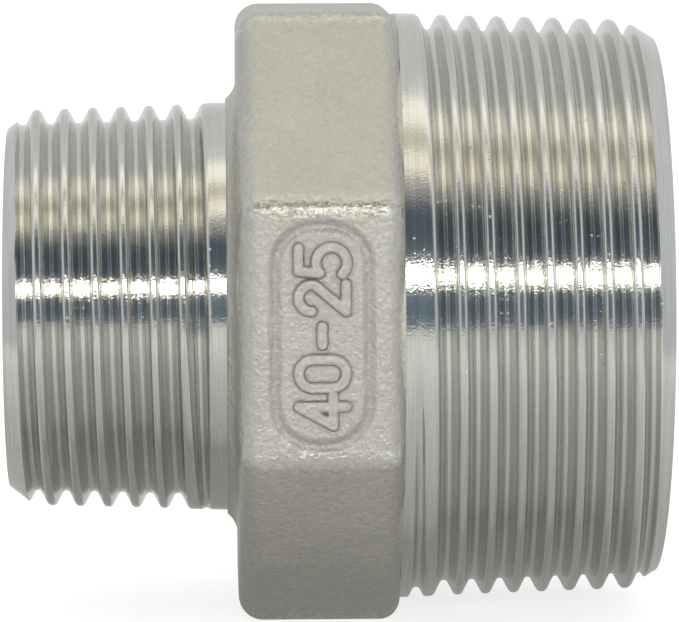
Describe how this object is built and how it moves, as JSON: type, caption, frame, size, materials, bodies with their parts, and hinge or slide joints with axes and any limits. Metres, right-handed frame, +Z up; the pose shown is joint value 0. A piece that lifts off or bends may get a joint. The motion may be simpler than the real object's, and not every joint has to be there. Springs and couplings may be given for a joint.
{
  "type": "reducing hex nipple",
  "caption": "Cast stainless reducing nipple: a large and a small male taper pipe thread either side of an octagonal wrench section, open through a stepped bore.",
  "frame": {"origin": "on the pipe axis, half way along the octagonal wrench section", "axes": "+X along the pipe axis towards the large thread, +Z up, the fitting lying on one flat of its octagon; the marked flat faces -Y"},
  "size_m": [0.0532, 0.0498, 0.0494],
  "materials": {
    "cast_steel": "as cast and shot blasted",
    "machined_steel": "turned, bright"
  },
  "bodies": {
    "root": {"octagon_body": "cast_steel", "large_threaded_end": "machined_steel", "small_threaded_end": "machined_steel", "size_mark": "cast_steel"}
  },
  "joints": []
}
